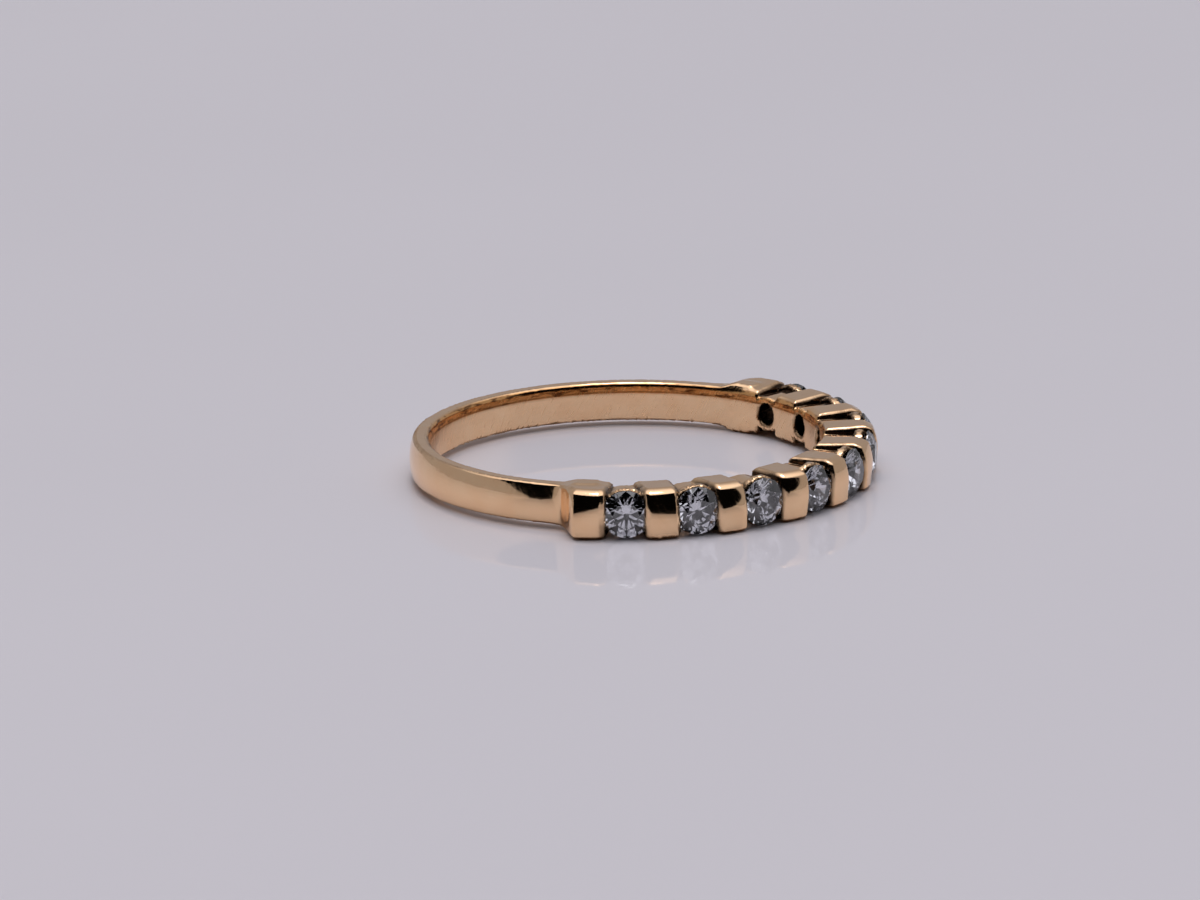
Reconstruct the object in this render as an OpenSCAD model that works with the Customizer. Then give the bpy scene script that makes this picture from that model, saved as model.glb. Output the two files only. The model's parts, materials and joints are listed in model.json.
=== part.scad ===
// Half eternity ring: a bar set row of round brilliants over half of a slim gold shank.
// The finger hole runs along Z, its centre is the origin, and the stones face -Y.
// Every bar, setting and stone is drawn on a station that points along +X and is then turned to its place.

/* [Finger hole] */
// Diameter of the finger hole
bore_d = 17; // [15:0.1:20]

/* [Shank] */
// Width of the shank along the finger
shank_w = 1.76; // [1.4:0.02:1.9]
// Thickness of the shank at the middle of its crowned face
shank_t = 0.92; // [0.8:0.02:1.1]
// How far the crowned outer face falls from its middle to its edges
shank_crown = 0.2; // [0.1:0.01:0.26]
// Bevel along the outer edges of the shank
shank_edge = 0.11; // [0.06:0.01:0.16]
// Bevel along the inner edges of the shank
comfort_edge = 0.09; // [0.03:0.01:0.15]

/* [Bars] */
// Number of stones in the row; there is one bar more
stone_count = 9; // [5:1:9]
// Angle round the finger from one bar to the next
bar_pitch = 16.7; // [16.5:0.1:17.3]
// How far a bar stands out from the finger hole
bar_depth = 2.45; // [2.3:0.05:2.6]
// Height of a bar along the finger
bar_h = 2.16; // [2.1:0.02:2.4]
// Width of a bar at its two ends
bar_w = 1.38; // [1.1:0.02:1.5]
// How far each side of a bar swells at the middle of its height
bar_belly = 0.07; // [0.04:0.01:0.1]
// How far the rounded outer face of a bar falls from its middle to its two ends
bar_crown = 0.25; // [0.1:0.01:0.3]
// Bevel along the two ends of a bar's outer face
bar_edge = 0.14; // [0.08:0.01:0.2]
// Bevel along the two lips that reach over the stones, at the middle of their height
bar_lip = 0.1; // [0.08:0.01:0.16]
// Bevel along the long corners of a bar
bar_corner = 0.17; // [0.1:0.01:0.3]
// Bevel where the ends of a bar meet the finger hole
bar_inner_edge = 0.2; // [0.16:0.01:0.25]
// Radius of the hollow blend between the outer face of the shank and an end bar
shoulder_r = 0.6; // [0.5:0.01:0.7]
// How far along the shank its sides flare to the height of an end bar
shoulder_flare = 0.5; // [0.4:0.01:0.8]

/* [Settings] */
// Height of the setting behind a stone, at its middle
setting_h = 1.56; // [1.4:0.02:1.7]
// Height of the same setting where it meets the bars
setting_side_h = 1.28; // [1.1:0.02:1.4]
// How far a setting stands out from the finger hole
setting_depth = 1.5; // [1.35:0.05:1.6]
// Diameter of the open hole behind each stone
azure_d = 0.92; // [0.7:0.02:1]

/* [Stones] */
// Diameter of a stone
stone_d = 2.04; // [1.96:0.01:2.1]
// Depth of the table below the face of the bars
table_drop = 0.06; // [0.04:0.01:0.12]
// Width of the table as a share of the diameter
table_share = 0.56; // [0.52:0.01:0.62]
// Slope of the crown
crown_angle = 34; // [31:0.5:36]
// Slope of the pavilion
pavilion_angle = 41; // [39:0.5:42]
// Thickness of the girdle as a share of the diameter
girdle_share = 0.034; // [0.03:0.002:0.05]
// Room between a stone and the metal of its seat
seat_gap = 0.02; // [0.02:0.005:0.04]

/* [Hidden] */
$fa = 3;
$fs = 0.1;

bore_r = bore_d / 2;
bar_count = stone_count + 1;
bar_r = bore_r + bar_depth;
head_start = -90 - (bar_count - 1) / 2 * bar_pitch;
head_sweep = (bar_count - 1) * bar_pitch;
shank_r = bore_r + shank_t;
// Extra reach that lets cutters and joined solids run past each other
over = 0.3;
// How far the hollow blend's circle bites into the faces it joins
shoulder_bite = 0.04;
shoulder_h = shank_w - 2 * (shank_crown + shank_edge);

// Heights along a stone's own axis, from its girdle's upper edge
stone_r = stone_d / 2;
table_r = stone_r * table_share;
crown_h = (stone_r - table_r) * tan(crown_angle);
girdle_t = stone_d * girdle_share;
pavilion_h = stone_r * tan(pavilion_angle);
// Distance from the finger's axis to the girdle's upper edge
girdle_at = bar_r - table_drop - crown_h;

// A brilliant has eight mains, and its girdle is drawn with four points to each
mains = 8;
main_step = 360 / mains;
half_step = main_step / 2;
girdle_points = 4 * mains;
// Radii of the points where star and upper girdle facets meet, and of the lower facets' inner points
star_r = 0.82 * stone_r;
lower_r = 0.22 * stone_r;
star_z = (stone_r - star_r * cos(half_step)) * tan(crown_angle);
lower_z = -girdle_t - (stone_r - lower_r * cos(half_step)) * tan(pavilion_angle);
// Between two corner points the girdle circle lies beyond the facet's straight edge, and dips along its slope
girdle_bow = stone_r * (1 - cos(half_step / 2));
upper_dip = girdle_bow * star_z / (stone_r * cos(half_step / 2) - star_r * cos(half_step / 2));
lower_dip = girdle_bow * (-girdle_t - lower_z) / ((stone_r - lower_r) * cos(half_step / 2));

gold = [0.85, 0.66, 0.47];
clear_white = [0.86, 0.89, 0.93, 0.6];

function bar_angle(k) = head_start + (k - 1) * bar_pitch;
function stone_angle(k) = head_start + (k - 0.5) * bar_pitch;
function ring_point(r, a, z) = [r * cos(a), r * sin(a), z];

// The radius of a circle that rises by rise over a chord of twice half_chord
function arc_radius(half_chord, rise) = (half_chord * half_chord + rise * rise) / (2 * rise);

// Two equal arcs that meet: wide at the middle and narrow at both ends
module lens(long, wide, ends) {
    r = arc_radius(long / 2, (wide - ends) / 2);
    intersection() {
        translate([0, wide / 2 - r]) circle(r);
        translate([0, r - wide / 2]) circle(r);
        square([long, wide + over], center = true);
    }
}

// A rectangle about the origin with its four corners cut
module cut_rectangle(wide, high, cut) {
    x = wide / 2;
    y = high / 2;
    polygon([
        [cut - x, -y], [x - cut, -y], [x, cut - y], [x, y - cut],
        [x - cut, y], [cut - x, y], [-x, y - cut], [-x, cut - y],
    ]);
}

// A rectangle from near to far along X, with only its two far corners cut
module blunt_rectangle(near, far, high, cut) {
    y = high / 2;
    polygon([[near, -y], [far - cut, -y], [far, cut - y], [far, y - cut], [far - cut, y], [near, y]]);
}

// Section of the shank: X is the distance from the finger's axis, Y runs along the finger
module shank_section() {
    dome_r = arc_radius(shank_w / 2, shank_crown);
    intersection() {
        blunt_rectangle(bore_r - over, shank_r + over, shank_w, over + shank_crown + shank_edge);
        translate([shank_r - dome_r, 0]) circle(dome_r);
    }
}

module shank() {
    rotate_extrude(angle = 360 - head_sweep, start = head_start + head_sweep)
        shank_section();
}

// A bar is the common part of its front, side and top outlines
module bar() {
    near = bore_r - over;
    full_w = bar_w + 2 * bar_belly;
    loose_w = full_w + 2 * over;
    dome_r = arc_radius(bar_h / 2, bar_crown);
    intersection() {
        translate([near, 0, 0]) rotate([90, 0, 90]) linear_extrude(bar_depth + 2 * over) intersection() {
            rotate(90) lens(bar_h + over, full_w, bar_w);
            cut_rectangle(loose_w, bar_h, over + bar_belly + bar_corner);
        }
        translate([0, loose_w / 2, 0]) rotate([90, 0, 0]) linear_extrude(loose_w) intersection() {
            blunt_rectangle(near, bar_r + over, bar_h + 2 * over, 2 * over + bar_crown + bar_edge);
            translate([bar_r - dome_r, 0]) circle(dome_r);
        }
        translate([0, 0, -bar_h]) linear_extrude(2 * bar_h)
            blunt_rectangle(near, bar_r, loose_w, over + bar_lip);
    }
}

// The solid setting between two bars, with scalloped upper and lower sides
module setting() {
    gap_w = 2 * (bore_r + setting_depth) * sin(bar_pitch / 2) - bar_w + bar_corner;
    translate([bore_r - over, 0, 0]) rotate([90, 0, 90]) linear_extrude(setting_depth + over)
        lens(gap_w, setting_h, setting_side_h);
}

// The blend on one flank of an end bar, towards +Y: out to its face and across to its full height
module shoulder() {
    flank = bar_w / 2;
    face_r = shank_r - shank_crown;
    hollow = shoulder_r - shoulder_bite;
    flare_t = over + shank_t - shank_crown - shank_edge;
    translate([0, 0, -shoulder_h / 2]) linear_extrude(shoulder_h) difference() {
        translate([face_r - over, flank - over]) square([over + shoulder_r, over + shoulder_r]);
        translate([face_r + hollow, flank + hollow]) circle(shoulder_r);
    }
    translate([bore_r - over, 0, 0]) rotate([90, 0, 90]) linear_extrude(flare_t)
        polygon([
            [flank - over, -bar_h / 2 + bar_corner], [flank + shoulder_flare, -shank_w / 2 + over / 2],
            [flank + shoulder_flare, shank_w / 2 - over / 2], [flank - over, bar_h / 2 - bar_corner],
        ]);
}

// The finger hole, opened a little at the edges of the shank and more at the ends of the bars
module finger_hole() {
    wall = shank_w / 2 - comfort_edge;
    rotate_extrude() polygon([
        [0, -bar_h], [bore_r + bar_h, -bar_h], [bore_r + bar_inner_edge, -bar_h / 2],
        [bore_r + comfort_edge, -shank_w / 2], [bore_r, -wall], [bore_r, wall],
        [bore_r + comfort_edge, shank_w / 2], [bore_r + bar_inner_edge, bar_h / 2],
        [bore_r + bar_h, bar_h], [0, bar_h],
    ]);
}

// The room for one stone: a cone for the pavilion, a groove for the girdle and a cone over the crown
module seat() {
    room = stone_r + seat_gap;
    under = girdle_t + seat_gap;
    rotate([0, 90, 0]) rotate_extrude() polygon([
        [0, girdle_at - under - pavilion_h - seat_gap], [room, girdle_at - under],
        [room, girdle_at + seat_gap], [table_r, girdle_at + crown_h + 3 * seat_gap],
        [table_r, bar_r + over], [0, bar_r + over],
    ]);
    rotate([0, 90, 0]) cylinder(h = girdle_at - under, d = azure_d);
}

module ring_mount() {
    color(gold) difference() {
        union() {
            shank();
            for (k = [1:bar_count]) rotate(bar_angle(k)) bar();
            for (k = [1:stone_count]) rotate(stone_angle(k)) setting();
            rotate(bar_angle(bar_count)) shoulder();
            rotate(bar_angle(1)) mirror([0, 1, 0]) shoulder();
        }
        finger_hole();
        for (k = [1:stone_count]) rotate(stone_angle(k)) seat();
    }
}

// Rings of points up a stone: table, stars, girdle top, girdle bottom, lower points and the culet
function table_points() = [for (i = [0:mains - 1]) ring_point(table_r, i * main_step, crown_h)];
function star_points() = [for (i = [0:mains - 1]) ring_point(star_r, (i + 0.5) * main_step, star_z)];
function girdle_ring(z, dip) = [for (i = [0:girdle_points - 1])
    ring_point(stone_r, i * 360 / girdle_points, z + (i % 2) * dip)];
function lower_points() = [for (i = [0:mains - 1]) ring_point(lower_r, (i + 0.5) * main_step, lower_z)];

// A round brilliant with its axis along Z and its girdle's upper edge at the height 0
module brilliant() {
    star = mains;
    top = 2 * mains;
    low = top + girdle_points;
    point = low + girdle_points;
    culet = point + mains;
    last = girdle_points - 1;
    polyhedron(
        points = concat(
            table_points(), star_points(),
            girdle_ring(0, -upper_dip), girdle_ring(-girdle_t, lower_dip),
            lower_points(), [[0, 0, -girdle_t - pavilion_h]]
        ),
        faces = concat(
            [[for (i = [0:mains - 1]) mains - 1 - i]],
            [for (i = [0:mains - 1]) [i, (i + 1) % mains, star + i]],
            [for (i = [0:mains - 1]) [i, star + i, top + 4 * i, star + (i + mains - 1) % mains]],
            [for (i = [0:mains - 1]) [star + i, top + 4 * i + 2, top + 4 * i + 1, top + 4 * i]],
            [for (i = [0:mains - 1])
                [star + i, top + (4 * i + 4) % girdle_points, top + 4 * i + 3, top + 4 * i + 2]],
            [for (i = [0:last]) [top + i, top + (i + 1) % girdle_points, low + (i + 1) % girdle_points, low + i]],
            [for (i = [0:mains - 1]) [point + i, low + 4 * i, low + 4 * i + 1, low + 4 * i + 2]],
            [for (i = [0:mains - 1])
                [point + i, low + 4 * i + 2, low + 4 * i + 3, low + (4 * i + 4) % girdle_points]],
            [for (i = [0:mains - 1]) [culet, point + (i + mains - 1) % mains, low + 4 * i, point + i]]
        )
    );
}

// One stone of the row, with a main facet towards each bar
module stone(k) {
    color(clear_white) rotate(stone_angle(k)) translate([girdle_at, 0, 0]) rotate([0, 90, 0]) brilliant();
}

ring_mount();
for (k = [1:stone_count]) stone(k);
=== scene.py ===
import json
import math

import bpy
from mathutils import Matrix, Vector


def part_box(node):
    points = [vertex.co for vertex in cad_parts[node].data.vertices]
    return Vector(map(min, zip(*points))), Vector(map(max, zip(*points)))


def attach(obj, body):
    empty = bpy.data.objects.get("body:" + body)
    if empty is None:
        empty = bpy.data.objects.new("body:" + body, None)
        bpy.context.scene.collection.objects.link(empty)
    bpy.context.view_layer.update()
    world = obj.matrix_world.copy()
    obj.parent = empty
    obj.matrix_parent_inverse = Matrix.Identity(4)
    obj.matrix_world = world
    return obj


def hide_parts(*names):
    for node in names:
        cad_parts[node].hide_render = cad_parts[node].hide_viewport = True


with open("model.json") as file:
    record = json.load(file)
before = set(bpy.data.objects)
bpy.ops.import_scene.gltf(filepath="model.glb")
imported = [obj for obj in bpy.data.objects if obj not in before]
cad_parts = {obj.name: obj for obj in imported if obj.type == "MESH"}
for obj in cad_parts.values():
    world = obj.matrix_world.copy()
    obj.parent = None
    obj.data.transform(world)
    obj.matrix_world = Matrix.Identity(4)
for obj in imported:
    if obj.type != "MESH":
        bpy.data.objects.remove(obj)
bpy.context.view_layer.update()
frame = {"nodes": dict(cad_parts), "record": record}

mm = 0.001  # every size below is in millimetres, and Blender works in metres
ringLow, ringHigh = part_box("ring_mount")
stoneNames = sorted(name for name in frame["nodes"] if name.startswith("stone_"))
lastStone = (len(stoneNames) - 1) / 2  # stones are counted from the middle one


# A hex colour as seen on a screen, turned into the linear colour that shaders work in
def linearColour(hexText):
    channels = [int(hexText[i:i + 2], 16) / 255 for i in (1, 3, 5)]
    return [c / 12.92 if c <= 0.04045 else ((c + 0.055) / 1.055) ** 2.4 for c in channels] + [1.0]


# Adds one node, sets its properties, fills its inputs with values or wires, and gives its first output
def addNode(tree, kind, inputs=(), **settings):
    node = tree.nodes.new(kind)
    for name, value in settings.items():
        setattr(node, name, value)
    for key, value in inputs.items() if isinstance(inputs, dict) else enumerate(inputs):
        if isinstance(value, Wire):
            tree.links.new(value.socket, node.inputs[key])
        else:
            node.inputs[key].default_value = value
    return Wire(node.outputs[0]) if len(node.outputs) else None


# What comes out of a node; a plain sum of wires adds the nodes that work it out
class Wire:
    def __init__(self, socket):
        self.socket = socket

    def output(self, name):
        return Wire(self.socket.node.outputs[name])

    def __add__(self, other):
        return addNode(self.socket.id_data, "ShaderNodeMath", [self, other], operation="ADD")

    def __sub__(self, other):
        return addNode(self.socket.id_data, "ShaderNodeMath", [self, other], operation="SUBTRACT")

    def __rsub__(self, other):
        return addNode(self.socket.id_data, "ShaderNodeMath", [other, self], operation="SUBTRACT")

    def __mul__(self, other):
        return addNode(self.socket.id_data, "ShaderNodeMath", [self, other], operation="MULTIPLY")

    def __truediv__(self, other):
        return addNode(self.socket.id_data, "ShaderNodeMath", [self, other], operation="DIVIDE")

    def __neg__(self):
        return addNode(self.socket.id_data, "ShaderNodeMath", [self, -1.0], operation="MULTIPLY")

    def __abs__(self):
        return addNode(self.socket.id_data, "ShaderNodeMath", [self], operation="ABSOLUTE")

    __radd__, __rmul__ = __add__, __mul__


# What lies inside all of two or three faces, with its edges rounded to a radius
def roundedCorner(tree, radius, *faces):
    lifted = [face + radius for face in faces]
    missing = [-1.0] * (3 - len(lifted))
    corner = addNode(tree, "ShaderNodeCombineXYZ", lifted + missing)
    outside = addNode(tree, "ShaderNodeVectorMath", [corner, (0, 0, 0)], operation="MAXIMUM")
    reach = addNode(tree, "ShaderNodeVectorMath", [outside], operation="LENGTH").output("Value")
    deepest = lifted[0]
    for face in lifted[1:]:
        deepest = addNode(tree, "ShaderNodeMath", [deepest, face], operation="MAXIMUM")
    return reach + addNode(tree, "ShaderNodeMath", [deepest, 0.0], operation="MINIMUM") - radius


# The finger hole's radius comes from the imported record, and the bars' height from the frame
ringSizes = {
    "boreRadius": next(m["dims"]["r_mm"] for m in frame["record"]["mounts"] if m["name"] == "finger_bore"),
    "pitch": 16.7,            # degrees from bar to bar
    "shankWidth": 1.76,
    "shankThickness": 0.92,
    "shankDome": 0.16,        # how far its outer face falls back towards both edges
    "shankLean": 0.05,        # and how far that face leans back as a whole, in radians
    "barReach": 2.45,         # out from the finger hole
    "barHeight": (ringHigh.z - ringLow.z) / mm,
    "barWidth": 1.38,
    "barBelly": 0.09,         # swelling of each flank at half height
    "barDome": 0.3,           # how far its face falls back towards both ends
    "barEdge": 0.13,
    "barBevel": 0.16,         # filed along the upper end of its face
    "barLip": 0.16,           # rounding of the lips that reach over the stones
    "lipStart": 0.55,         # from the middle of the bar
    "settingDepth": 1.5,
    "settingHeight": 1.56,
    "cupRadius": 1.07,        # a collar under each stone's girdle
    "cupStart": 1.45,
    "cupReach": 1.93,
    "stoneRadius": 1.02,
    "girdleReach": 2.087,     # from the finger hole to the stones' girdles
    "holeRadius": 0.46,
}

barForm = {
    "faceArch": 0.12,         # how far its face falls back to both sides
    "lipTurn": 35,            # degrees by which the lips were pressed down
    "lipBlend": 0.03,
    "bevelBlend": 0.05,
    "taper": 0.05,            # fall of a bar's ends towards the finger hole
    "endRun": 0.9,            # and from here towards its face, where they're rounded like a cushion
    "endFall": 0.07,
    "narrowFrom": 0.72,       # share of its half height past which a bar gets narrower
    "narrowing": 1.5,
    "lowerDome": 0.05,        # its face falls back less below, and the edge there is sharper
    "lowerEdge": 0.09,
}

# How each of the ten bars differs from the drawing
barWork = {
    "wider": [0.0, 0.14, 0.0, 0.04, 0.0, 0.06, 0.0, 0.02, 0.0, 0.0],
    # degrees about its outer face
    "turned": [0.0, 4.0, 6.5, -6.0, 0.0, 2.0, 0.0, 0.0, 0.0, 0.0],
    # lean that grows to one side
    "twisted": [-0.14, 0.05, 0.0, -0.05, 0.04, -0.04, 0.05, -0.03, 0.04, 0.0],
    # slope of its side towards the shank
    "splayed": [0.38, 0.0, 0.0, 0.0, 0.0, 0.0, 0.0, 0.0, 0.0, 0.38],
    # slope of its face, back at the top
    "leaned": [0.0, 0.1, 0.1, 0.0, 0.0, 0.0, 0.0, 0.0, 0.0, 0.0],
    # middle of the face between the lips
    "shifted": [-0.15, 0.02, 0.0, 0.04, -0.12, -0.16, -0.12, -0.03, 0.0, 0.0],
}


# What barWork says of the bar with this number, counted from the middle stone
def readBarWork(tree, barIndex):
    own = {}
    for name, values in barWork.items():
        switch = tree.nodes.new("GeometryNodeIndexSwitch")
        switch.data_type = "FLOAT"
        while len(switch.index_switch_items) < len(values):
            switch.index_switch_items.new()
        for i, value in enumerate(values):
            switch.inputs[i + 1].default_value = value
        tree.links.new((barIndex + lastStone).socket, switch.inputs[0])
        own[name] = Wire(switch.outputs[0])
    return own


# The nearest bar, and how far a point is past the start of that bar's lips
def makeBar(tree, size, place):
    radius, turn, along, rise = place["radius"], place["turn"], place["along"], place["rise"]
    barIndex = addNode(tree, "ShaderNodeMath", [turn / place["pitch"] + 0.5], operation="ROUND")
    barIndex = addNode(tree, "ShaderNodeMath", [barIndex, lastStone + 1], operation="MINIMUM")
    barIndex = addNode(tree, "ShaderNodeMath", [barIndex, -lastStone], operation="MAXIMUM")
    own = readBarWork(tree, barIndex)

    # The point as seen from the middle of the bar's face, once the bar is turned
    barTurn = turn - (barIndex - 0.5) * place["pitch"]
    pivot = size["boreRadius"] + size["barReach"]
    inward = pivot - radius * addNode(tree, "ShaderNodeMath", [barTurn], operation="COSINE")
    across = radius * addNode(tree, "ShaderNodeMath", [barTurn], operation="SINE")
    turned = own["turned"] * math.radians(1)
    cosine = addNode(tree, "ShaderNodeMath", [turned], operation="COSINE")
    sine = addNode(tree, "ShaderNodeMath", [turned], operation="SINE")
    out = pivot - inward * cosine + across * sine
    across = across * cosine + inward * sine

    share = rise / place["halfHeight"]
    below = addNode(tree, "ShaderNodeMath", [-along / place["halfHeight"], 0.0], operation="MAXIMUM")
    dome = size["barDome"] + (barForm["lowerDome"] - size["barDome"]) * below
    face = (out - size["boreRadius"] - size["barReach"] + dome * share * share
            + across * (barForm["faceArch"] * across + own["twisted"] * along) + own["leaned"] * along)

    flank = abs(across) - (size["barWidth"] + own["wider"]) * 0.5 - size["barBelly"] * (1.0 - share * share)
    shankSide = addNode(tree, "ShaderNodeMath", [across * (barIndex - 0.5), 0.0], operation="GREATER_THAN")
    behind = addNode(tree, "ShaderNodeMath", [inward, 0.0], operation="MAXIMUM")
    nearEnd = addNode(tree, "ShaderNodeMath", [share - barForm["narrowFrom"], 0.0], operation="MAXIMUM")
    flank = flank - own["splayed"] * behind * shankSide + barForm["narrowing"] * nearEnd * nearEnd

    lipTurn = math.radians(barForm["lipTurn"])
    pastLip = abs(across - own["shifted"]) - size["lipStart"]
    lip = face * math.cos(lipTurn) + pastLip * math.sin(lipTurn)
    front = addNode(tree, "ShaderNodeMath", [face, lip, barForm["lipBlend"]], operation="SMOOTH_MAX")

    nearFace = addNode(tree, "ShaderNodeMath", [1.0 - inward / barForm["endRun"], 0.0], operation="MAXIMUM")
    end = rise - place["halfHeight"] + barForm["taper"] * inward + barForm["endFall"] * nearFace * nearFace
    bevel = (front + end + along - rise + size["barBevel"]) * math.sqrt(0.5)
    front = addNode(tree, "ShaderNodeMath", [front, bevel, barForm["bevelBlend"]], operation="SMOOTH_MAX")
    endEdge = size["barEdge"] + (barForm["lowerEdge"] - size["barEdge"]) * below
    bar = roundedCorner(tree, endEdge, roundedCorner(tree, size["barLip"], front, flank), end)
    return bar, pastLip


settingForm = {
    "edge": 0.16,
    "arch": 0.36,             # its upper and lower faces fall away to both sides
    "cupEdge": 0.04,
    "cupFillet": 0.2,
    "seatRoom": 0.02,
    "seatEdge": 0.03,
    "underGirdle": 0.09,
    "pavilionSlope": 41,      # degrees
    "overGirdle": 0.02,
    "crownSlope": 34,
}


# The nearest setting, between two bars, with the seat for its stone and the hole behind that
def makeSetting(tree, size, place):
    radius, turn, along = place["radius"], place["turn"], place["along"]
    stoneIndex = addNode(tree, "ShaderNodeMath", [turn / place["pitch"]], operation="ROUND")
    stoneIndex = addNode(tree, "ShaderNodeMath", [stoneIndex, lastStone], operation="MINIMUM")
    stoneIndex = addNode(tree, "ShaderNodeMath", [stoneIndex, -lastStone], operation="MAXIMUM")
    stoneTurn = turn - stoneIndex * place["pitch"]
    out = radius * addNode(tree, "ShaderNodeMath", [stoneTurn], operation="COSINE") - size["boreRadius"]
    across = radius * addNode(tree, "ShaderNodeMath", [stoneTurn], operation="SINE")
    fromAxis = addNode(tree, "ShaderNodeMath", [across * across + along * along], operation="SQRT")

    end = place["rise"] - size["settingHeight"] * 0.5 + settingForm["arch"] * across * across
    block = roundedCorner(tree, settingForm["edge"], out - size["settingDepth"], end, place["pastHead"])
    cup = roundedCorner(tree, settingForm["cupEdge"], fromAxis - size["cupRadius"], out - size["cupReach"],
                        size["cupStart"] - out)
    setting = addNode(tree, "ShaderNodeMath", [block, cup, settingForm["cupFillet"]], operation="SMOOTH_MIN")

    # The seat is a cone under the girdle and a cone over the crown
    pavilion, crown = math.radians(settingForm["pavilionSlope"]), math.radians(settingForm["crownSlope"])
    pastGirdle = fromAxis - size["stoneRadius"] - settingForm["seatRoom"]
    lift = out - size["girdleReach"]
    under = pastGirdle * math.sin(pavilion) - (lift + settingForm["underGirdle"]) * math.cos(pavilion)
    over = pastGirdle * math.sin(crown) + (lift - settingForm["overGirdle"]) * math.cos(crown)
    seat = addNode(tree, "ShaderNodeMath", [under, over], operation="MAXIMUM")
    seat = addNode(tree, "ShaderNodeMath", [seat, pastGirdle], operation="MAXIMUM")
    setting = addNode(tree, "ShaderNodeMath", [setting, -seat, settingForm["seatEdge"]],
                      operation="SMOOTH_MAX")
    hole = addNode(tree, "ShaderNodeMath", [fromAxis - size["holeRadius"], lift], operation="MAXIMUM")
    return setting, seat, hole


# Places along the shank are measured from the middle of an end bar
shankForm = {
    "edge": 0.12,
    "sideEdge": 0.04,
    "flareStart": 1.5,        # from here it widens towards the bar's height
    "flareEnd": 0.7,
    "rampStart": 1.65,        # from here its face rises to meet the bar's
    "rampRise": 0.14,
    "flatStart": 2.4,         # and from here its face grows flatter
    "flatShare": 0.5,
    "rampEnd": 0.75,          # where both end
}


# The shank, whose two ends sink into the end bars, and half its width
def makeShank(tree, size, place):
    pastHead, rise = place["pastHead"], place["rise"]
    halfWidth = addNode(tree, "ShaderNodeMapRange", {
        "Value": pastHead, "From Min": shankForm["flareEnd"], "From Max": shankForm["flareStart"],
        "To Min": place["halfHeight"], "To Max": size["shankWidth"] * 0.5}, interpolation_type="SMOOTHSTEP")
    roundness = addNode(tree, "ShaderNodeMapRange", {
        "Value": pastHead, "From Min": shankForm["rampEnd"], "From Max": shankForm["flatStart"],
        "To Min": shankForm["flatShare"], "To Max": 1.0}, interpolation_type="SMOOTHSTEP")
    ramp = addNode(tree, "ShaderNodeMapRange", {
        "Value": pastHead, "From Min": shankForm["rampEnd"], "From Max": shankForm["rampStart"],
        "To Min": shankForm["rampRise"], "To Max": 0.0}, interpolation_type="SMOOTHSTEP")
    edgeShare = rise * 2.0 / size["shankWidth"]
    fallBack = size["shankDome"] * edgeShare * edgeShare + size["shankLean"] * place["along"]
    face = place["radius"] - size["boreRadius"] - size["shankThickness"] + fallBack * roundness - ramp
    return roundedCorner(tree, shankForm["edge"], face, rise - halfWidth, -pastHead), halfWidth


# The finger hole opens towards its upper edge, which is worn more than the lower one
fingerHoleForm = {
    "edge": 0.1,
    "openFrom": 0.36,         # height above the middle
    "opening": 0.122,
    "openBlend": 0.1,
    "brinkFrom": 0.68,        # and from here it opens ever more
    "brinkOpening": 1.9,
    "brinkRun": 0.2,          # for so far, and then evenly
}


# The wall of the finger hole
def makeWall(tree, size, place):
    opened = place["along"] - fingerHoleForm["openFrom"]
    opened = addNode(tree, "ShaderNodeMath", [opened, 0.0, fingerHoleForm["openBlend"]],
                     operation="SMOOTH_MAX")
    brink = place["along"] - fingerHoleForm["brinkFrom"]
    brink = addNode(tree, "ShaderNodeMath", [brink, 0.0], operation="MAXIMUM")
    curved = addNode(tree, "ShaderNodeMath", [brink, fingerHoleForm["brinkRun"]], operation="MINIMUM")
    return (size["boreRadius"] - place["radius"] + fingerHoleForm["opening"] * opened
            + fingerHoleForm["brinkOpening"] * curved * (2.0 * brink - curved))


# How the pieces are soldered, and how far polishing by hand and wear stray from the true faces
handWork = {
    "solderFillet": 0.14,
    "shoulderFillet": 0.7,
    "holeEdge": 0.15,
    "waveLength": 1.6,
    "waves": 0.012,
    "dentLength": 0.45,
    "dents": 0.004,
    "lipDents": 0.02,
    "lipMiddle": 0.12,        # middle of a lip, past its start, and how far its dents reach to both sides
    "lipRun": 0.2,
}


# Adds the waves and dents of hand polishing, with more dents on the lips
def roughenGold(tree, gold, point, pastLip):
    waves = addNode(tree, "ShaderNodeTexNoise", {
        "Vector": point, "Scale": 1 / handWork["waveLength"], "Detail": 1.0, "Roughness": 0.4})
    dents = addNode(tree, "ShaderNodeTexNoise", {
        "Vector": point, "Scale": 1 / handWork["dentLength"], "Detail": 1.0, "Roughness": 0.5})
    onLip = 1.0 - abs(pastLip - handWork["lipMiddle"]) / handWork["lipRun"]
    onLip = addNode(tree, "ShaderNodeMath", [onLip, 0.0], operation="MAXIMUM")
    depth = handWork["dents"] + handWork["lipDents"] * onLip
    return gold + (waves - 0.5) * (2 * handWork["waves"]) + (dents - 0.5) * 2.0 * depth


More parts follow.
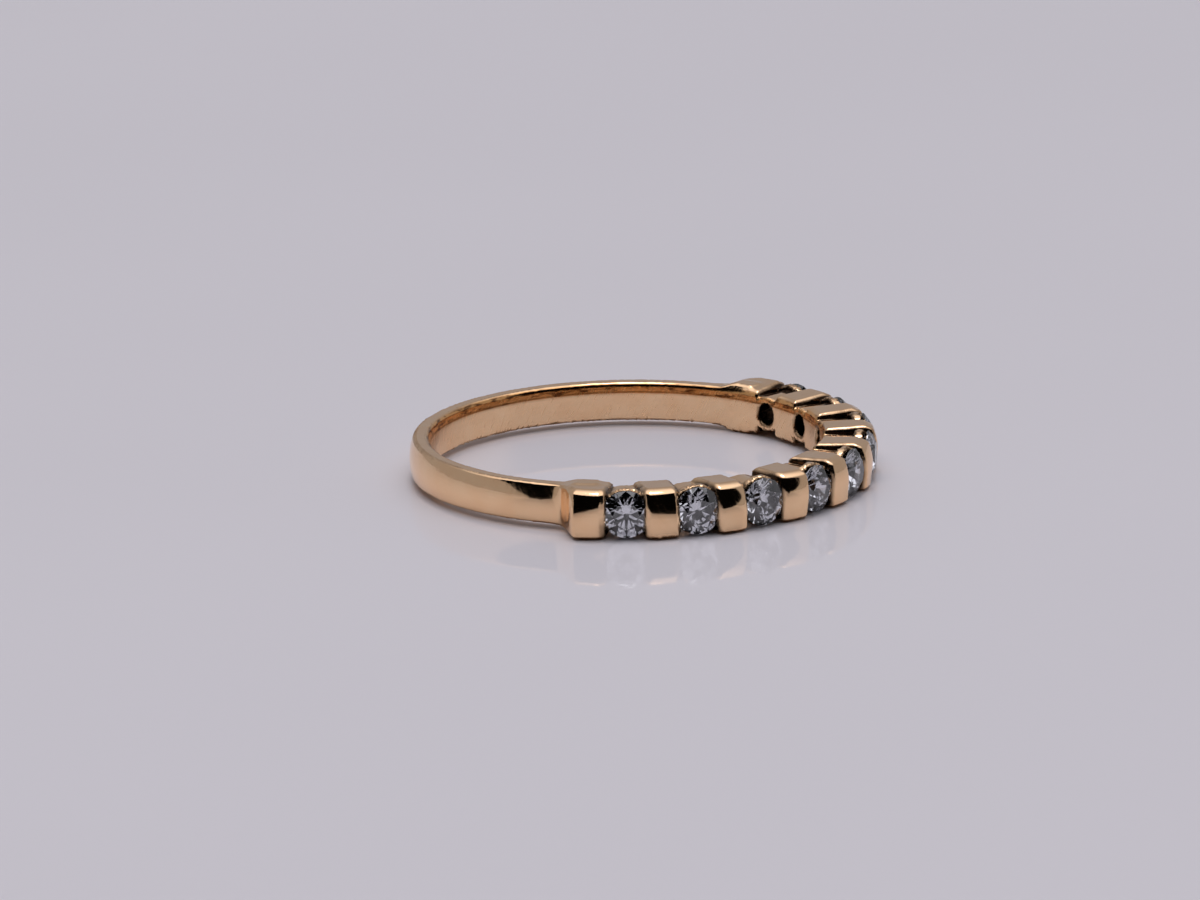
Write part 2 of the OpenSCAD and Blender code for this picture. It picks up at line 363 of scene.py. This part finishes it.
# One node group that gives the distance from any point to the gold, less than nothing inside it
def makeGoldDistance():
    tree = bpy.data.node_groups.new("goldDistance", "GeometryNodeTree")
    tree.interface.new_socket("Distance", in_out="OUTPUT", socket_type="NodeSocketFloat")
    # And the distance to the gold or to the nearest stone
    tree.interface.new_socket("Room", in_out="OUTPUT", socket_type="NodeSocketFloat")
    tree.interface.new_socket("Position", in_out="INPUT", socket_type="NodeSocketVector")
    for name in ringSizes:
        tree.interface.new_socket(name, in_out="INPUT", socket_type="NodeSocketFloat")
    inputs = addNode(tree, "NodeGroupInput")
    size = {name: inputs.output(name) for name in ringSizes}

    point = addNode(tree, "ShaderNodeVectorMath", {0: inputs.output("Position"), "Scale": 1 / mm},
                    operation="SCALE")
    parts = addNode(tree, "ShaderNodeSeparateXYZ", [point])
    x, y, along = [parts.output(axis) for axis in "XYZ"]
    place = {
        "radius": addNode(tree, "ShaderNodeMath", [x * x + y * y], operation="SQRT"),
        "turn": addNode(tree, "ShaderNodeMath", [x, -y], operation="ARCTAN2"),  # 0 at the middle stone
        "along": along,
        "rise": abs(along),
        "pitch": size["pitch"] * math.radians(1),
        "halfHeight": size["barHeight"] * 0.5,
    }
    place["pastHead"] = (abs(place["turn"]) - place["pitch"] * (lastStone + 0.5)) * place["radius"]

    bar, pastLip = makeBar(tree, size, place)
    setting, seat, hole = makeSetting(tree, size, place)
    shank, halfWidth = makeShank(tree, size, place)
    side = place["rise"] - halfWidth
    gold = addNode(tree, "ShaderNodeMath", [bar, setting, handWork["solderFillet"]], operation="SMOOTH_MIN")
    gold = addNode(tree, "ShaderNodeMath", [gold, shank, handWork["shoulderFillet"]], operation="SMOOTH_MIN")
    gold = addNode(tree, "ShaderNodeMath", [gold, side, shankForm["sideEdge"]], operation="SMOOTH_MAX")
    gold = roundedCorner(tree, fingerHoleForm["edge"], gold, makeWall(tree, size, place))
    gold = addNode(tree, "ShaderNodeMath", [gold, -hole, handWork["holeEdge"]], operation="SMOOTH_MAX")
    gold = roughenGold(tree, gold, point, pastLip)
    room = addNode(tree, "ShaderNodeMath", [gold, seat], operation="MINIMUM")
    addNode(tree, "NodeGroupOutput", [gold, room])
    return tree


meshMaking = {
    "gridStep": 0.072,
    "marginSteps": 4,
    "speckPoints": 1000,      # what has fewer points isn't a part of the ring
    "moves": 2,
    "slopeReach": 0.01,
    "blurs": 2,
}

# Lines along which the room in front of a point is measured, to find where painted shade and some grime go
roomLines = [
    {"length": 0.3, "share": 0.6, "output": "Room"},
    {"length": 1.0, "share": 0.9, "output": "Distance"},
]


# The way out of the gold at each point of its surface
def makeSlope(tree, distance, size, position):
    slopes = []
    for axis in range(3):
        nudge = [meshMaking["slopeReach"] * mm if i == axis else 0 for i in range(3)]
        ahead = addNode(tree, "ShaderNodeVectorMath", [position, nudge], operation="ADD")
        behind = addNode(tree, "ShaderNodeVectorMath", [position, nudge], operation="SUBTRACT")
        slopes.append(addNode(tree, "GeometryNodeGroup", {"Position": ahead, **size}, node_tree=distance)
                      - addNode(tree, "GeometryNodeGroup", {"Position": behind, **size}, node_tree=distance))
    slope = addNode(tree, "ShaderNodeCombineXYZ", slopes)
    return addNode(tree, "ShaderNodeVectorMath", [slope], operation="NORMALIZE")


# How little room there is in front of each point, for the painted shade and the grime that polishing leaves
# in corners
def makeCrevice(tree, distance, size, position, normal):
    crevice = 0.0
    for line in roomLines:
        step = addNode(tree, "ShaderNodeVectorMath", {0: normal, "Scale": line["length"] * mm},
                       operation="SCALE")
        ahead = addNode(tree, "ShaderNodeVectorMath", [position, step], operation="ADD")
        found = addNode(tree, "GeometryNodeGroup", {"Position": ahead, **size}, node_tree=distance)
        lost = 1.0 - found.output(line["output"]) / line["length"]
        lost = addNode(tree, "ShaderNodeMath", [lost, 0.0], operation="MAXIMUM")
        lost = addNode(tree, "ShaderNodeMath", [lost, 1.0], operation="MINIMUM")
        crevice = lost * line["share"] + crevice
    crevice = addNode(tree, "ShaderNodeMath", [crevice, 1.0], operation="MINIMUM")
    return addNode(tree, "GeometryNodeBlurAttribute", {"Value": crevice, "Iterations": meshMaking["blurs"]})


# The tree that turns the distance into a mesh and draws every point of it onto the true surface
def makeRingTree():
    distance = makeGoldDistance()
    tree = bpy.data.node_groups.new("goldRing", "GeometryNodeTree")
    tree.interface.new_socket("Geometry", in_out="OUTPUT", socket_type="NodeSocketGeometry")
    tree.interface.new_socket("Geometry", in_out="INPUT", socket_type="NodeSocketGeometry")
    for name in ringSizes:
        tree.interface.new_socket(name, in_out="INPUT", socket_type="NodeSocketFloat")
    tree.interface.new_socket("material", in_out="INPUT", socket_type="NodeSocketMaterial")
    inputs = addNode(tree, "NodeGroupInput")
    size = {name: inputs.output(name) for name in ringSizes}
    position = addNode(tree, "GeometryNodeInputPosition")
    here = addNode(tree, "GeometryNodeGroup", {"Position": position, **size}, node_tree=distance)
    normal = makeSlope(tree, distance, size, position)

    margin = meshMaking["marginSteps"] * meshMaking["gridStep"] * mm
    low = [ringLow[i] - margin for i in range(3)]
    high = [ringHigh[i] + margin for i in range(3)]
    steps = [round((high[i] - low[i]) / (meshMaking["gridStep"] * mm)) for i in range(3)]
    cube = addNode(tree, "GeometryNodeVolumeCube", [-here, -1.0, low, high, *steps])
    mesh = addNode(tree, "GeometryNodeVolumeToMesh", {"Volume": cube})

    # Specks of gold or of air that the grid cuts off in a narrow corner are left out
    island = addNode(tree, "GeometryNodeInputMeshIsland")
    pointCount = addNode(tree, "GeometryNodeAccumulateField", {"Value": 1.0, "Group ID": island})
    speck = addNode(tree, "ShaderNodeMath", [pointCount.output("Total"), meshMaking["speckPoints"]],
                    operation="LESS_THAN")
    mesh = addNode(tree, "GeometryNodeDeleteGeometry", {"Geometry": mesh, "Selection": speck})

    # Each point moves against the slope by the distance that is left
    step = addNode(tree, "ShaderNodeVectorMath", {0: normal, "Scale": here * -mm}, operation="SCALE")
    for move in range(meshMaking["moves"]):
        mesh = addNode(tree, "GeometryNodeSetPosition", {"Geometry": mesh, "Offset": step})

    crevice = makeCrevice(tree, distance, size, position, normal)
    mesh = addNode(tree, "GeometryNodeStoreNamedAttribute", {
        "Geometry": mesh, "Name": "crevice", "Value": crevice})
    mesh = addNode(tree, "GeometryNodeSetShadeSmooth", {"Geometry": mesh})
    mesh = addNode(tree, "GeometryNodeSetMeshNormal", {"Mesh": mesh, "Custom Normal": normal},
                   mode="FREE", domain="POINT")
    mesh = addNode(tree, "GeometryNodeRealizeInstances", [mesh])
    mesh = addNode(tree, "GeometryNodeSetMaterial", {"Geometry": mesh, "Material": inputs.output("material")})
    addNode(tree, "NodeGroupOutput", [mesh])
    return tree


# Runs a tree on an empty mesh and keeps the result as a plain mesh
def bakeTree(name, tree, values):
    piece = bpy.data.objects.new(name, bpy.data.meshes.new(name))
    bpy.context.scene.collection.objects.link(piece)
    modifier = piece.modifiers.new(name, "NODES")
    modifier.node_group = tree
    for socket in tree.interface.items_tree:
        if socket.in_out == "INPUT" and socket.name in values:
            modifier[socket.identifier] = values[socket.name]
    graph = bpy.context.evaluated_depsgraph_get()
    piece.data = bpy.data.meshes.new_from_object(piece.evaluated_get(graph))
    piece.data.name = name
    piece.modifiers.clear()
    return piece


goldFinish = {
    "tones": ("#FFDCB2", "#FBCB9C"),
    "toneGrain": 0.9,
    # The upper edge of the finger hole is painted orange, a painted reflection of the gold in itself, with
    # brown specks
    "orange": "#FFBE76",
    "orangeShare": 0.85,
    "mouthHeights": (0.39, 0.43),
    "mouthDepths": (0.18, 0.1),         # out from the finger hole
    "brown": "#5A2C12",
    "speckSize": (0.6, 0.2, 0.15),      # round the ring, out from its middle, and along the finger hole
    "speckLevels": (0.48, 0.62),
    "speckShare": 0.85,
    "tideHeight": 0.45,                 # a brown line where the orange begins
    "tideRun": 0.08,
    "tideShare": 0.6,
    # Painted shade in the corners, with some grime, lighter beside the end bars
    "grime": "#2A180C",
    "grimeLevels": (0.15, 0.7),
    "grimeShare": 0.97,
    "grimePatches": 0.3,
    "grimeDulling": 0.15,
    "cleanFrom": (11.5, 11.8),          # round the ring, from the middle stone
    "cleanShare": 0.35,
    # The polish is a little patchy, and duller on the wall of the finger hole, which wear alone has smoothed
    "roughness": (0.04, 0.13),
    "wallRoughness": 0.14,
    "wallDepths": (0.02, 0.1),          # out from the finger hole
    "scratchSize": (0.07, 0.5, 0.7),
    "scratchSlant": 0.12,
    "scratchLevels": (0.58, 0.7),
    "scratchRoughness": 0.12,
    # Wear runs round the ring in streaks; they are really some 0.02 mm apart, drawn coarse enough to show
    "streakSize": (1.8, 0.14, 0.14),
    "streakDepth": 0.0018,
    "dimpleSize": 0.45,
    "dimpleDepth": 0.0034,
}


# The gold's colour before the painted shade of its corners, with a painted orange reflection at the upper
# edge of the finger hole
def makeGoldTone(tree, place):
    pale, red = [linearColour(tone) for tone in goldFinish["tones"]]
    tone = addNode(tree, "ShaderNodeMix", {"Factor": place["patches"], "A": pale, "B": red}, data_type="RGBA")
    low, high = [height * mm for height in goldFinish["mouthHeights"]]
    above = addNode(tree, "ShaderNodeMapRange", {"Value": place["z"], "From Min": low, "From Max": high})
    outer, inner = [(ringSizes["boreRadius"] + depth) * mm for depth in goldFinish["mouthDepths"]]
    within = addNode(tree, "ShaderNodeMapRange", {
        "Value": place["radius"], "From Min": outer, "From Max": inner})
    mouth = above * within

    length, depth, height = goldFinish["speckSize"]
    pitPlace = addNode(tree, "ShaderNodeCombineXYZ", [
        place["around"] / length, place["radius"] / (depth * mm), place["z"] / (height * mm)])
    pits = addNode(tree, "ShaderNodeTexNoise", {"Vector": pitPlace, "Scale": 1.0, "Detail": 3.0})
    low, high = goldFinish["speckLevels"]
    specks = addNode(tree, "ShaderNodeMapRange", {
        "Value": pits, "From Min": low, "From Max": high, "To Max": goldFinish["speckShare"]})
    brownLine = addNode(tree, "ShaderNodeMapRange", {
        "Value": abs(place["z"] - goldFinish["tideHeight"] * mm), "From Max": goldFinish["tideRun"] * mm,
        "To Min": goldFinish["tideShare"], "To Max": 0.0})
    browned = addNode(tree, "ShaderNodeMath", [specks, brownLine], operation="MAXIMUM")
    # The orange at the finger hole's upper edge is a painted reflection of gold in gold
    tone = addNode(tree, "ShaderNodeMix", {
        "Factor": mouth * goldFinish["orangeShare"], "A": tone.output("Result"),
        "B": linearColour(goldFinish["orange"])}, data_type="RGBA")
    return addNode(tree, "ShaderNodeMix", {
        "Factor": mouth * browned, "A": tone.output("Result"),
        "B": linearColour(goldFinish["brown"])}, data_type="RGBA").output("Result")


# How much painted shade, with some grime, darkens the gold, from the mesh's own measure of its corners
def makeShadeAndGrime(tree, place):
    crevice = addNode(tree, "ShaderNodeAttribute", attribute_name="crevice").output("Fac")
    start, end = goldFinish["cleanFrom"]
    left = addNode(tree, "ShaderNodeMapRange", {
        "Value": abs(place["around"]), "From Min": start, "From Max": end,
        "To Min": 1.0, "To Max": goldFinish["cleanShare"]})
    low, high = goldFinish["grimeLevels"]
    return addNode(tree, "ShaderNodeMapRange", {
        "Value": crevice * left + (place["patches"] - 0.5) * goldFinish["grimePatches"],
        "From Min": low, "From Max": high, "To Max": goldFinish["grimeShare"]})


# A felt wheel's polish, with worn patches, duller where painted shade and grime lie, and hairline scratches
# that run aslant
def makeGoldRoughness(tree, place, grime):
    low, high = goldFinish["roughness"]
    wear = addNode(tree, "ShaderNodeMapRange", {"Value": place["patches"], "To Min": low, "To Max": high})
    inner, outer = [(ringSizes["boreRadius"] + depth) * mm for depth in goldFinish["wallDepths"]]
    worn = addNode(tree, "ShaderNodeMapRange", {
        "Value": place["radius"], "From Min": inner, "From Max": outer,
        "To Min": goldFinish["wallRoughness"], "To Max": 0.0})
    length, depth, height = goldFinish["scratchSize"]
    slant = addNode(tree, "ShaderNodeCombineXYZ", [
        place["around"] / length + place["z"] / (goldFinish["scratchSlant"] * mm),
        place["radius"] / (depth * mm), place["z"] / (height * mm)])
    hairlines = addNode(tree, "ShaderNodeTexNoise", {"Vector": slant, "Scale": 1.0, "Detail": 2.0})
    low, high = goldFinish["scratchLevels"]
    scratches = addNode(tree, "ShaderNodeMapRange", {
        "Value": hairlines, "From Min": low, "From Max": high, "To Max": goldFinish["scratchRoughness"]})
    return wear + grime * goldFinish["grimeDulling"] + worn + scratches


# The streaks and dimples that are too shallow for the mesh
def makeGoldRelief(tree, place):
    length, depth, height = goldFinish["streakSize"]
    run = addNode(tree, "ShaderNodeCombineXYZ", [
        place["around"] / length, place["radius"] / (depth * mm), place["z"] / (height * mm)])
    streaks = addNode(tree, "ShaderNodeTexNoise", {"Vector": run, "Scale": 1.0, "Detail": 2.0})
    dimples = addNode(tree, "ShaderNodeTexNoise", {
        "Vector": place["point"], "Scale": 1 / (goldFinish["dimpleSize"] * mm), "Detail": 1.0})
    relief = streaks * (goldFinish["streakDepth"] * mm) + dimples * (goldFinish["dimpleDepth"] * mm)
    return addNode(tree, "ShaderNodeBump", {"Strength": 1.0, "Distance": 1.0, "Height": relief})


# Nine to fourteen carat gold with copper in it, cast, then polished on a felt wheel:
# warm mirror reflections, blurred a little by fine wear, with painted shade and some grime in its corners
def makePolishedGold():
    material = bpy.data.materials.new("polishedRoseGold")
    material.use_nodes = True
    tree = material.node_tree
    shader = tree.nodes["Principled BSDF"]
    shader.inputs["Metallic"].default_value = 1.0
    point = addNode(tree, "ShaderNodeTexCoord").output("Object")
    parts = addNode(tree, "ShaderNodeSeparateXYZ", [point])
    x, y, z = [parts.output(axis) for axis in "XYZ"]
    turn = addNode(tree, "ShaderNodeMath", [x, -y], operation="ARCTAN2")
    place = {
        "point": point,
        "z": z,
        "radius": addNode(tree, "ShaderNodeMath", [x * x + y * y], operation="SQRT"),
        "around": turn * ringSizes["boreRadius"],  # in millimetres, the others in metres
        "patches": addNode(tree, "ShaderNodeTexNoise", {
            "Vector": point, "Scale": 1 / (goldFinish["toneGrain"] * mm), "Detail": 5.0}),
    }
    grime = makeShadeAndGrime(tree, place)
    # Painted shade, with some grime, darkens the gold in its corners
    shadedAndSoiled = addNode(tree, "ShaderNodeMix", {
        "Factor": grime, "A": makeGoldTone(tree, place), "B": linearColour(goldFinish["grime"])},
        data_type="RGBA")
    tree.links.new(shadedAndSoiled.output("Result").socket, shader.inputs["Base Color"])
    tree.links.new(makeGoldRoughness(tree, place, grime).socket, shader.inputs["Roughness"])
    tree.links.new(makeGoldRelief(tree, place).socket, shader.inputs["Normal"])
    return material


stoneFinish = {
    "tone": "#F2F4FA",
    "bending": 2.3,           # refractive index, between those of zirconia and diamond
    "hazeGrain": 0.4,
    "roughness": (0.02, 0.06),
}


# Colourless brilliants, cut and polished: hard, clear and highly refracting, with a slight haze of wear
def makeClearStone():
    material = bpy.data.materials.new("cutClearStone")
    material.use_nodes = True
    tree = material.node_tree
    shader = tree.nodes["Principled BSDF"]
    shader.inputs["Base Color"].default_value = linearColour(stoneFinish["tone"])
    shader.inputs["Transmission Weight"].default_value = 1.0
    shader.inputs["IOR"].default_value = stoneFinish["bending"]
    point = addNode(tree, "ShaderNodeTexCoord").output("Object")
    haze = addNode(tree, "ShaderNodeTexNoise", {
        "Vector": point, "Scale": 1 / (stoneFinish["hazeGrain"] * mm), "Detail": 2.0})
    low, high = stoneFinish["roughness"]
    polish = addNode(tree, "ShaderNodeMapRange", {"Value": haze, "To Min": low, "To Max": high})
    tree.links.new(polish.socket, shader.inputs["Roughness"])
    return material


floorSheet = {
    "side": 3000.0,
    "tones": ("#E6E3E8", "#EAE7EC"),
    "cloudSize": 40,
    "coat": 0.6,
    "coatRoughness": 0.05,
}


# Glossy white acrylic sheet: pale, smooth enough to mirror the ring faintly
def makeFloorMaterial():
    material = bpy.data.materials.new("glossyAcrylicSheet")
    material.use_nodes = True
    tree = material.node_tree
    shader = tree.nodes["Principled BSDF"]
    point = addNode(tree, "ShaderNodeTexCoord").output("Object")
    cloud = addNode(tree, "ShaderNodeTexNoise", {
        "Vector": point, "Scale": 1 / (floorSheet["cloudSize"] * mm), "Detail": 1.0})
    dull, pale = [linearColour(tone) for tone in floorSheet["tones"]]
    tone = addNode(tree, "ShaderNodeMix", {"Factor": cloud, "A": dull, "B": pale}, data_type="RGBA")
    tree.links.new(tone.output("Result").socket, shader.inputs["Base Color"])
    shader.inputs["Specular IOR Level"].default_value = 0.0
    shader.inputs["Coat Weight"].default_value = floorSheet["coat"]
    shader.inputs["Coat Roughness"].default_value = floorSheet["coatRoughness"]
    return material


# The sheet that the ring lies on
def makeFloor():
    edge, level = floorSheet["side"] / 2 * mm, ringLow.z
    corners = [(-edge, -edge, level), (edge, -edge, level), (edge, edge, level), (-edge, edge, level)]
    mesh = bpy.data.meshes.new("floor")
    mesh.from_pydata(corners, [], [(0, 1, 2, 3)])
    mesh.materials.append(makeFloorMaterial())
    floor = bpy.data.objects.new("floor", mesh)
    bpy.context.scene.collection.objects.link(floor)
    return floor


cameraPlace = {
    "azimuth": -66.6,         # degrees round the ring, 0 looks along +Y
    "elevation": 14.775,
    "distance": 330.0,
    "lens": 227.76,
    "sensorWidth": 36.0,
    "pictureWidth": 1200,     # pixels
    "right": 26.08,           # where the ring's centre lies from the picture's middle, in pixels
    "up": -0.6,
    "roll": -0.9,
    "nearest": 10.0,
    "farthest": 10000.0,
}
azimuth, elevation = math.radians(cameraPlace["azimuth"]), math.radians(cameraPlace["elevation"])


# A long lens in front of the bar at -X, a little above the ring
def makeCamera():
    camera = bpy.data.objects.new("camera", bpy.data.cameras.new("camera"))
    bpy.context.scene.collection.objects.link(camera)
    camera.data.sensor_width = cameraPlace["sensorWidth"]
    camera.data.lens = cameraPlace["lens"]
    camera.data.clip_start = cameraPlace["nearest"] * mm
    camera.data.clip_end = cameraPlace["farthest"] * mm
    back = Vector((math.sin(azimuth) * math.cos(elevation), -math.cos(azimuth) * math.cos(elevation),
                   math.sin(elevation)))
    pixelsAway = cameraPlace["lens"] / cameraPlace["sensorWidth"] * cameraPlace["pictureWidth"]
    aim = (back.to_track_quat("Z", "Y").to_matrix()
           @ Matrix.Rotation(math.radians(cameraPlace["roll"]), 3, "Z")
           @ Matrix.Rotation(math.atan(cameraPlace["right"] / pixelsAway), 3, "Y")
           @ Matrix.Rotation(-math.atan(cameraPlace["up"] / pixelsAway), 3, "X"))
    camera.matrix_world = Matrix.Translation(back * cameraPlace["distance"] * mm) @ aim.to_4x4()
    return camera


# Places in it are in degrees, above the floor and to the right of the camera
lightTent = {
    "tone": "#FAF8FE",
    "wall": 0.34,
    "roof": 1.2,
    "roofStart": 48.0,
    "roofBlend": 15,
    "lamp": 5.2,
    "lampHeight": 79.0,       # on the far side of the ring
    "lampRadius": 11.0,
    "lampSoftness": 0.15,
    "opening": 0.001,
    "openingMiddle": -18.0,
    "openingHalfWidth": 92.0,
    "openingRise": 28.0,
    "openingHalfHeight": 32.0,
    "openingSquareness": 4.0,
    "cornerBearing": -52.0,   # its lower left corner is cut off along a line that starts here
    "cornerSlope": 1.15,
}


# A light tent: pale walls, a brighter roof, a lamp above it, and a dark opening behind the camera
def makeLightTent():
    world = bpy.data.worlds.new("lightTent")
    world.use_nodes = True
    tree = world.node_tree
    background = tree.nodes["Background"]
    background.inputs["Color"].default_value = linearColour(lightTent["tone"])
    parts = addNode(tree, "ShaderNodeSeparateXYZ", [addNode(tree, "ShaderNodeTexCoord").output("Generated")])
    x, y, z = [parts.output(axis) for axis in "XYZ"]
    front = x * math.sin(azimuth) - y * math.cos(azimuth)
    side = x * math.cos(azimuth) + y * math.sin(azimuth)
    height = addNode(tree, "ShaderNodeMath", [z], operation="ARCSINE") / math.radians(1)
    bearing = addNode(tree, "ShaderNodeMath", [side, front], operation="ARCTAN2") / math.radians(1)
    cloth = addNode(tree, "ShaderNodeMapRange", {
        "Value": height, "From Min": lightTent["roofStart"] - lightTent["roofBlend"],
        "From Max": lightTent["roofStart"] + lightTent["roofBlend"],
        "To Min": lightTent["wall"], "To Max": lightTent["roof"]}, interpolation_type="SMOOTHSTEP")

    wide = abs(bearing - lightTent["openingMiddle"]) / lightTent["openingHalfWidth"]
    wide = addNode(tree, "ShaderNodeMath", [wide, lightTent["openingSquareness"]], operation="POWER")
    tall = abs(height - lightTent["openingRise"]) / lightTent["openingHalfHeight"]
    tall = addNode(tree, "ShaderNodeMath", [tall, lightTent["openingSquareness"]], operation="POWER")
    inside = addNode(tree, "ShaderNodeMath", [wide + tall, 1.0], operation="LESS_THAN")
    corner = (lightTent["cornerBearing"] - bearing) * lightTent["cornerSlope"]
    inside = inside * addNode(tree, "ShaderNodeMath", [height, corner], operation="GREATER_THAN")

    lampHeight, lampRadius = math.radians(lightTent["lampHeight"]), math.radians(lightTent["lampRadius"])
    towardsLamp = z * math.sin(lampHeight) - front * math.cos(lampHeight)
    lamp = addNode(tree, "ShaderNodeMapRange", {
        "Value": towardsLamp, "From Min": math.cos(lampRadius * (1 + lightTent["lampSoftness"])),
        "From Max": math.cos(lampRadius * (1 - lightTent["lampSoftness"])),
        "To Min": 0.0, "To Max": lightTent["lamp"]}, interpolation_type="SMOOTHSTEP")
    strength = cloth * (1 - inside) + lightTent["opening"] * inside + lamp
    tree.links.new(strength.socket, background.inputs["Strength"])
    return world


print("stage: gold")
gold = makePolishedGold()
ring = bakeTree("goldRing", makeRingTree(), {**ringSizes, "material": gold})
triangleCount = sum(len(face.vertices) - 2 for face in ring.data.polygons)
print("gold ring:", len(ring.data.vertices), "points,", triangleCount, "triangles")
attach(ring, "root")
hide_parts("ring_mount")

print("stage: stones")
clear = makeClearStone()
for name in stoneNames:
    stone = frame["nodes"][name]
    stone.data.materials.clear()
    stone.data.materials.append(clear)

print("stage: floor, camera and light")
floor = makeFloor()
bpy.context.scene.camera = makeCamera()
bpy.context.scene.world = makeLightTent()
bpy.context.scene.view_settings.view_transform = "Standard"
